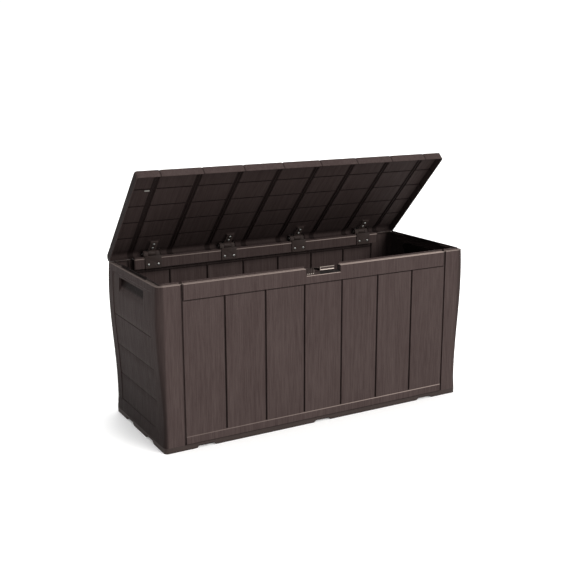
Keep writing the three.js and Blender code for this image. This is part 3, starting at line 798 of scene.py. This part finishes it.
def lock_resin():
    """Dark resin with painted highlights along the tab's edges and the feet of the ribs, and painted
    shadow on the plate under and beside the tab."""
    material, surface, wire = new_material("lock_plate_resin")
    place = wire.place()
    x, y, z = (place.part(axis) for axis in "XYZ")
    across_tab = x.rise(TAB_LEFT - FADE, TAB_LEFT) * (1 - x.rise(TAB_RIGHT, TAB_RIGHT + FADE))
    above_tab_foot = z.rise(TAB_LOW - FADE, TAB_LOW)
    tab_edges = z.on_line(TAB_LOW + FADE, BROAD_LINE, FINE_LINE)
    tab_edges = tab_edges + TAB_SIDE_HIGHLIGHT * x.on_line(TAB_LEFT, FADE, FINE_LINE)
    tab_edges = tab_edges + TAB_TOP_HIGHLIGHT * z.on_line(RIM, FINE_LINE, FINE_LINE)
    tab_highlight = across_tab * (1 - y.rise(TAB_FACE, TAB_FACE + FINE_LINE)) * above_tab_foot
    rib_highlight = (1 - x.rise(RIBS_RIGHT - FADE, RIBS_RIGHT)) * z.on_line(RIB_FOOT, FADE, FADE)
    rib_highlight = rib_highlight * (1 - y.rise(RIB_FACE, RIB_FACE + FADE))
    painted_highlight = tab_highlight * tab_edges + RIB_HIGHLIGHT * rib_highlight
    under_tab = across_tab * (1 - above_tab_foot)
    shadow = under_tab.maths("MAXIMUM", under_tab, x.rise(SLOT_LEFT - FADE, SLOT_LEFT))
    dark, lit = (
        painted_highlight.blend((PLATE_SHADE * shadow).blend(tone, RESIN_SHADE), RESIN_HIGHLIGHT)
        for tone in (RESIN_DARK, RESIN_LIT)
    )
    resin_skin(surface, wire, dark, lit)
    return material


lock = make_piece("lock_plate_moulding", merged_copy("lock_plate"), lock_resin(), LOCK_EDGE)
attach(lock, "box")
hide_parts("lock_plate")


# ---- Hinge brackets -----------------------------------------------------------------------------
# Four dark resin brackets hook over the back rail. Each has two knuckles and a strap that is
# screwed to the rail's inner flange.
HINGES = 4
BRACKET_EDGE = 0.0007
for number in range(1, HINGES + 1):
    node = f"hinge_bracket_{number}"
    bracket = make_piece(f"{node}_moulding", merged_copy(node), dark_resin, BRACKET_EDGE)
    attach(bracket, "box")
    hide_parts(node)


# ---- Hinge pins ---------------------------------------------------------------------------------
# A zinc-plated steel rivet holds the leaf of each hinge between its bracket's knuckles, with a domed
# head at both ends.
PIN_RADIUS = 0.003
PIN_HEAD = 0.0048
PIN_HEAD_DEPTH = 0.002
PIN_RIM = 0.35
DOME_ANGLES = [math.radians(angle) for angle in (0, 25, 50, 72)]
PIN_SIDES = 24
ZINC_DARK = shade(150, 150, 146)
ZINC_LIT = shade(196, 197, 195)
SPANGLE_SCALE = 420.0
TARNISH_SCALE = 160.0
ZINC_ROUGHNESS = 0.3
PIN_SHARP = math.radians(40)
AXIS_WELD = 0.000001


def zinc_plate():
    """Bright steel with the small crystals of its zinc and a little tarnish."""
    material, surface, wire = new_material("zinc_plated_steel")
    place = wire.place()
    spangle = place.add("ShaderNodeTexVoronoi", None, {"Vector": place, "Scale": SPANGLE_SCALE})
    tarnish = place.noise(TARNISH_SCALE, detail=4.0, roughness=0.65)
    tone = (0.5 * spangle + 0.5 * tarnish).rise(0.2, 0.8)
    wire.feed(surface.inputs["Base Color"], tone.blend(ZINC_DARK, ZINC_LIT))
    wire.feed(surface.inputs["Roughness"], ZINC_ROUGHNESS + 0.25 * tarnish)
    surface.inputs["Metallic"].default_value = 1.0
    tarnish.emboss(surface, strength=0.3, depth=0.0001)
    return material


zinc = zinc_plate()


def turned(profile, axis_point, axis, sides):
    """A solid turned from a half profile, whose first and last points lie on the axis."""
    shape = bmesh.new()
    points = [shape.verts.new(place) for place in profile]
    edges = [shape.edges.new(pair) for pair in zip(points, points[1:])]
    bmesh.ops.spin(
        shape, geom=points + edges, cent=axis_point, axis=axis, angle=math.tau, steps=sides,
        use_merge=True,
    )
    bmesh.ops.remove_doubles(shape, verts=shape.verts[:], dist=AXIS_WELD)
    bmesh.ops.recalc_face_normals(shape, faces=shape.faces[:])
    return shape


def domed_end(x, out, y, z):
    """Half profile of a rivet's head from its rim to the axis; out is 1 or -1 along X."""
    dome = []
    for angle in DOME_ANGLES:
        height = PIN_HEAD_DEPTH * (PIN_RIM + (1 - PIN_RIM) * math.sin(angle))
        dome.append((x + out * height, y, z + PIN_HEAD * math.cos(angle)))
    return [*dome, (x + out * PIN_HEAD_DEPTH, y, z)]


for number in range(1, HINGES + 1):
    node = f"hinge_pin_{number}"
    low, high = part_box(node)
    y, z = (low.y + high.y) / 2, (low.z + high.z) / 2
    seats = low.x + PIN_HEAD_DEPTH, high.x - PIN_HEAD_DEPTH
    left = domed_end(seats[0], -1, y, z)[::-1]
    right = domed_end(seats[1], 1, y, z)
    shank = [
        (seats[0], y, z + PIN_HEAD), (seats[0], y, z + PIN_RADIUS),
        (seats[1], y, z + PIN_RADIUS), (seats[1], y, z + PIN_HEAD),
    ]
    shape = turned([*left, *shank, *right], (0, y, z), (1, 0, 0), PIN_SIDES)
    pin = make_piece(f"{node}_rivet", shape, zinc)
    pin.data.set_sharp_from_angle(angle=PIN_SHARP)
    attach(pin, "box")
    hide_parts(node)


# ---- Screws -------------------------------------------------------------------------------------
# Zinc-plated pan-head screws with a cross recess: two hold each bracket to the back rail, and two
# hold each leaf to the lid.
SCREW_SHANK = 0.0019
SCREW_HEAD = 0.0042
SCREW_LENGTH = 0.009
TIP_RADIUS = SCREW_SHANK * 0.4
TIP_LENGTH = 0.0015
HEAD_HEIGHT = 0.0022
SCREW_SIDES = 24
CROSS_REACH = 0.0022
CROSS_HALF = 0.0005
CROSS_DEPTH = 0.0012
CROSS_TAPER = 0.55
SCREW_SHARP = math.radians(35)

# The head's dome, as shares of its radius and of its height.
HEAD_DOME = ((1.0, 0.35), (0.92, 0.66), (0.74, 0.9), (0.56, 1.0))


def cross_outline(angle):
    """How far the edge of the cross recess is from its middle in one direction."""
    lean = (angle + math.pi / 4) % (math.pi / 2) - math.pi / 4
    if abs(math.tan(lean)) < CROSS_HALF / CROSS_REACH:
        return CROSS_REACH / math.cos(lean)
    return CROSS_HALF / abs(math.sin(lean))


def screw_shape():
    """A screw standing on its tip with its head up, and the head's seat at the origin."""
    shape = bmesh.new()
    ring = bmesh.ops.create_circle(
        shape, cap_ends=True, segments=SCREW_SIDES, radius=TIP_RADIUS,
        matrix=Matrix.Translation((0, 0, -SCREW_LENGTH)),
    )["verts"]
    end = [ring[0].link_faces[0]]
    radius = TIP_RADIUS
    profile = [
        (SCREW_SHANK, -SCREW_LENGTH + TIP_LENGTH), (SCREW_SHANK, 0.0), (SCREW_HEAD, 0.0),
        *((SCREW_HEAD * wide, HEAD_HEIGHT * high) for wide, high in HEAD_DOME),
    ]
    height = -SCREW_LENGTH
    for wide, z in profile:
        end, points = draw_out(shape, end, keep=height < -SCREW_LENGTH + HAIR)
        bmesh.ops.translate(shape, vec=(0, 0, z - height), verts=points)
        bmesh.ops.scale(shape, vec=(wide / radius, wide / radius, 1), verts=points)
        radius, height = wide, z
    for sink, shrink in ((0.0, 1.0), (CROSS_DEPTH, CROSS_TAPER)):
        end, points = draw_out(shape, end)
        for point in points:
            angle = math.atan2(point.co.y, point.co.x)
            reach = cross_outline(angle) * shrink
            point.co = (math.cos(angle) * reach, math.sin(angle) * reach, HEAD_HEIGHT - sink)
    bmesh.ops.recalc_face_normals(shape, faces=shape.faces[:])
    return shape


def screws(nodes, body, direction):
    """One screw for each CAD node, its head facing the given way."""
    heading = Vector(direction).to_track_quat("Z", "X").to_matrix()
    for node in nodes:
        low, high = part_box(node)
        middle = (low + high) / 2
        seat = middle + Vector(direction) * ((SCREW_LENGTH - HEAD_HEIGHT) / 2)
        shape = screw_shape()
        bmesh.ops.rotate(shape, verts=shape.verts[:], cent=(0, 0, 0), matrix=heading)
        bmesh.ops.translate(shape, vec=seat, verts=shape.verts[:])
        screw = make_piece(f"{node}_fixing", shape, zinc)
        screw.data.set_sharp_from_angle(angle=SCREW_SHARP)
        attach(screw, body)
        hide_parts(node)


bracket_screws = [
    f"bracket_screw_{number}_{hand}" for number in range(1, HINGES + 1) for hand in ("left", "right")
]
screws(bracket_screws, "box", (0, -1, 0))


# ---- Lid ----------------------------------------------------------------------------------------
# One brown resin moulding: a plank-pattern top, a lip round three sides and a back edge rolled about
# the hinge line, which gives way to each hinge between two discs. Underneath, a thicker pad backs
# each plank, with a channel between two pads and narrow grooves across them.
LID_HALF = 0.587
LID_FRONT = -0.218
LID_TOP = 0.568
LID_LIP = 0.0265
LIP_BEND = 0.004
LID_CORNER = 0.009
CORNER_SIDES = 5
LID_SKIN = 0.003
ROLL = 0.0135
ROLL_STEPS = 9
LID_OPEN = math.radians(46.3)
TOP_JOINT_HALF = 0.0034
TOP_JOINT_DEPTH = 0.0022
LIP_JOINT_DEPTH = 0.0012
LIP_OUTER = 0.0015
CHANNEL_HALF = 0.011
PAD_DEPTH = 0.003
PAD_SIDE = LID_HALF - 0.009
PAD_FRONT, PAD_BACK = -0.210, 0.194
CROSS_GROOVES = (-0.134, -0.049, 0.036, 0.121)
CROSS_GROOVE_HALF = 0.0025
CROSS_GROOVE_DEPTH = 0.002
SEAT_HALF = 0.020
SEAT_FRONT = 0.146
SEAT_DEPTH = 0.0015
NOTCH_HALF = 0.0303
DISC_RADIUS = 0.0125
DISC_HOLE = 0.0053
DISC_THICK = 0.0014
DISC_SIDES = 32
LID_EDGE = 0.0009
FACING_DOWN = -0.9
UNDER_SHADOW = 0.5
CHANNEL_SHADOW = 0.42
TOP_JOINT_SHADOW = 0.6
FLANK_SHADOW = 0.85

hinge = next(joint for joint in frame["joints"] if joint["name"] == "lid_hinge")
HINGE_LINE = Vector(hinge["pos_m"])
HINGE_PLANKS = (-3, -1, 1, 3)
lid_joints = [(i - PLANKS / 2) * PLANK for i in range(PLANKS + 1)]


def cut_across(shape, axis, places):
    """Cuts every face on planes square to an axis."""
    for place in places:
        bmesh.ops.bisect_plane(
            shape, geom=shape.verts[:] + shape.edges[:] + shape.faces[:],
            plane_co=axis * place, plane_no=axis,
        )


def lid_top():
    """The flat top with its rounded front corners, cut along every change in its thickness."""
    shape = bmesh.new()
    bmesh.ops.create_grid(shape, x_segments=1, y_segments=1, size=1)
    for point in shape.verts:
        point.co.x *= LID_HALF
        point.co.y = LID_FRONT if point.co.y < 0 else HINGE_LINE.y
        point.co.z = LID_TOP
    corners = [point for point in shape.verts if point.co.y < 0]
    bmesh.ops.bevel(
        shape, geom=corners, offset=LID_CORNER, offset_type="OFFSET", segments=CORNER_SIDES,
        profile=0.5, affect="VERTICES", material=-1,
    )
    across = Vector((1, 0, 0))
    along = Vector((0, 1, 0))
    sides = (-1, 1)
    hinge_places = [plank * PLANK for plank in HINGE_PLANKS]
    cut_across(shape, across, [x + s * TOP_JOINT_HALF for x in lid_joints for s in sides])
    cut_across(shape, across, lid_joints)
    cut_across(shape, across, [x + s * CHANNEL_HALF for x in lid_joints for s in sides])
    cut_across(shape, across, [s * PAD_SIDE for s in sides])
    cut_across(shape, across, [x + s * SEAT_HALF for x in hinge_places for s in sides])
    cut_across(shape, across, [x + s * NOTCH_HALF for x in hinge_places for s in sides])
    cut_across(shape, along, [y + s * CROSS_GROOVE_HALF for y in CROSS_GROOVES for s in sides])
    cut_across(shape, along, [PAD_FRONT, PAD_BACK, SEAT_FRONT])
    return shape


def add_lip(shape):
    """Draws the front and side edges down into the lip."""
    rim = [
        edge for edge in shape.edges
        if edge.is_boundary and sum(point.co.y for point in edge.verts) / 2 < HINGE_LINE.y - HAIR
    ]
    for drop in (LIP_BEND, LID_LIP - LIP_BEND):
        made = bmesh.ops.extrude_edge_only(shape, edges=rim)["geom"]
        points = [part for part in made if isinstance(part, bmesh.types.BMVert)]
        rim = [part for part in made if isinstance(part, bmesh.types.BMEdge)]
        bmesh.ops.translate(shape, vec=(0, 0, -drop), verts=points)


def beside_hinge(edge):
    """Whether a back edge lies where the roll gives way to a hinge."""
    middle = (edge.verts[0].co.x + edge.verts[1].co.x) / 2
    return min(abs(middle - plank * PLANK) for plank in HINGE_PLANKS) < NOTCH_HALF


def add_roll(shape):
    """Rolls the back edge down about the hinge line, apart from the hinges' gaps, and closes the
    roll's two ends."""
    back_edges = [
        edge for edge in shape.edges
        if all(abs(p.co.y - HINGE_LINE.y) < HAIR and abs(p.co.z - LID_TOP) < HAIR for p in edge.verts)
        and not beside_hinge(edge)
    ]
    points = list({point for edge in back_edges for point in edge.verts})
    turn = math.pi - math.acos((LID_LIP - ROLL) / ROLL)
    bmesh.ops.spin(
        shape, geom=points + back_edges, cent=HINGE_LINE, axis=(-1, 0, 0), angle=turn,
        steps=ROLL_STEPS,
    )
    bmesh.ops.remove_doubles(shape, verts=shape.verts[:], dist=HAIR)
    for side in (-1, 1):
        rim = [
            point for point in shape.verts
            if abs(point.co.x - side * LID_HALF) < HAIR and point.co.y > HINGE_LINE.y - HAIR
        ]
        rim.sort(key=lambda p: math.atan2(p.co.z - HINGE_LINE.z, p.co.y - HINGE_LINE.y - ROLL / 3))
        shape.faces.new(rim)


def add_roll_discs(shape):
    """Adds the disc that stiffens each cut end of the roll, with a hole for the rivet's head."""
    for plank in HINGE_PLANKS:
        for side in (-1, 1):
            near = plank * PLANK + side * NOTCH_HALF
            far = near + side * DISC_THICK
            corners = [(near, DISC_HOLE), (far, DISC_HOLE), (far, DISC_RADIUS), (near, DISC_RADIUS)]
            points = [
                shape.verts.new((x, HINGE_LINE.y, HINGE_LINE.z + radius)) for x, radius in corners
            ]
            edges = [shape.edges.new((points[i - 1], points[i])) for i in range(len(points))]
            before = set(shape.faces)
            bmesh.ops.spin(
                shape, geom=points + edges, cent=HINGE_LINE, axis=(1, 0, 0), angle=math.tau,
                steps=DISC_SIDES, use_merge=True,
            )
            made = [face for face in shape.faces if face not in before]
            bmesh.ops.recalc_face_normals(shape, faces=made)


def mark_joints(shape):
    """Presses the plank joints into the top, and faintly down the front lip."""
    for point in shape.verts:
        on_joint = min(abs(point.co.x - x) for x in lid_joints) < HAIR
        if on_joint and point.co.z > LID_TOP - HAIR and point.co.y < HINGE_LINE.y - HAIR:
            point.co.z -= TOP_JOINT_DEPTH
        if on_joint and point.co.y < LID_FRONT + HAIR:
            point.co.y += LIP_JOINT_DEPTH


def thicken_under(shape, chosen, depth):
    """Draws the chosen underside faces down to make a pad."""
    under = [
        face for face in shape.faces
        if face.normal.z < FACING_DOWN and face.calc_center_median().z > LID_TOP - LID_LIP / 2
        and chosen(face.calc_center_median())
    ]
    points = draw_out(shape, under)[1]
    bmesh.ops.translate(shape, vec=(0, 0, -depth), verts=points)
    shape.normal_update()


def on_pad(middle):
    """Whether a face's middle lies behind a plank, clear of the channels and the lip."""
    clear = min(abs(middle.x - x) for x in lid_joints) > CHANNEL_HALF
    return clear and abs(middle.x) < PAD_SIDE and PAD_FRONT < middle.y < PAD_BACK


def on_pad_face(middle):
    """Whether a face's middle lies on a pad and off its cross grooves."""
    on_groove = min(abs(middle.y - y) for y in CROSS_GROOVES) < CROSS_GROOVE_HALF
    return on_pad(middle) and not on_groove


def on_seat(middle):
    """Whether a face's middle lies on the boss that a hinge leaf bears on."""
    near = min(abs(middle.x - plank * PLANK) for plank in HINGE_PLANKS)
    return near < SEAT_HALF and SEAT_FRONT < middle.y < PAD_BACK


shape = lid_top()
add_lip(shape)
add_roll(shape)
bmesh.ops.recalc_face_normals(shape, faces=shape.faces[:])
if sum(face.normal.z * face.calc_area() for face in shape.faces) < 0:
    bmesh.ops.reverse_faces(shape, faces=shape.faces[:])
mark_joints(shape)
shape.normal_update()
bmesh.ops.solidify(shape, geom=shape.faces[:], thickness=LID_SKIN)
shape.normal_update()
thicken_under(shape, on_pad, PAD_DEPTH - CROSS_GROOVE_DEPTH)
thicken_under(shape, on_pad_face, CROSS_GROOVE_DEPTH)
thicken_under(shape, on_seat, SEAT_DEPTH)
add_roll_discs(shape)
opened = Matrix.Rotation(-LID_OPEN, 3, "X")
bmesh.ops.rotate(shape, verts=shape.verts[:], cent=HINGE_LINE, matrix=opened)


def lid_shading(laid, gap):
    """Painted shade: a dark underside with darker channels and cross grooves, dark joints and dark
    ends.
    """
    side, height, reach = laid.part("X").size(), laid.part("Y"), laid.part("Z")
    skin_under = HINGE_LINE.z - LID_TOP + LID_SKIN
    front = LID_FRONT - HINGE_LINE.y
    inside = 1 - side.rise(LID_HALF - LIP_OUTER - FADE, LID_HALF - LIP_OUTER)
    inside = inside * reach.rise(front + LIP_OUTER, front + LIP_OUTER + FADE)
    under = inside * height.rise(skin_under - BROAD_LINE, skin_under - FINE_LINE / 2)
    channels = 1 - gap.rise(CHANNEL_HALF - FADE, CHANNEL_HALF)
    for y in CROSS_GROOVES:
        groove = reach.on_line(y - HINGE_LINE.y, CROSS_GROOVE_HALF, FADE / 2)
        channels = channels.maths("MAXIMUM", channels, groove)
    joints = TOP_JOINT_SHADOW * (1 - gap.rise(TOP_JOINT_HALF * 0.4, TOP_JOINT_HALF))
    flank = FLANK_SHADOW * side.rise(LID_HALF - FADE, LID_HALF - FINE_LINE / 2)
    outside = (1 - under) * joints.maths("MAXIMUM", joints, flank)
    no_highlight = 0 * under
    return under * (UNDER_SHADOW + CHANNEL_SHADOW * channels) + outside, no_highlight


lid_turn = LID_OPEN + math.pi / 2
lid_shift = -(Matrix.Rotation(lid_turn, 3, "X") @ HINGE_LINE)
lid_resin = grained_resin("lid_grain_resin", lid_turn, lid_shift, lid_shading)
lid = make_piece("lid_moulding", shape, lid_resin, LID_EDGE)
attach(lid, "lid")
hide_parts("lid")


# ---- Lid clip -----------------------------------------------------------------------------------
# A small pale resin clip, pressed on under the lid near its left front corner. It is plain on every
# side, with rounded edges.
PALE_DARK = shade(104, 102, 98)
PALE_LIT = shade(122, 120, 116)
CLIP_EDGE = 0.0008
CLIP_ROUNDING = 3

pale_resin, surface, wire = new_material("pale_moulded_resin")
resin_skin(surface, wire, PALE_DARK, PALE_LIT)

clip = make_piece(
    "lid_clip_moulding", merged_copy("lid_clip"), pale_resin, CLIP_EDGE, CLIP_ROUNDING
)
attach(clip, "lid")
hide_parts("lid_clip")


# ---- Hinge leaves -------------------------------------------------------------------------------
# Four dark resin leaves. Each is a barrel that turns on its pin and a blade that bears on a boss
# under the lid, where two screws hold it.
LEAF_EDGE = 0.0007
for number in range(1, HINGES + 1):
    node = f"hinge_leaf_{number}"
    leaf = make_piece(f"{node}_moulding", merged_copy(node), dark_resin, LEAF_EDGE)
    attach(leaf, "lid")
    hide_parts(node)

leaf_screws = [
    f"leaf_screw_{number}_{row}" for number in range(1, HINGES + 1) for row in ("front", "back")
]
screws(leaf_screws, "lid", opened @ Vector((0, 0, -1)))
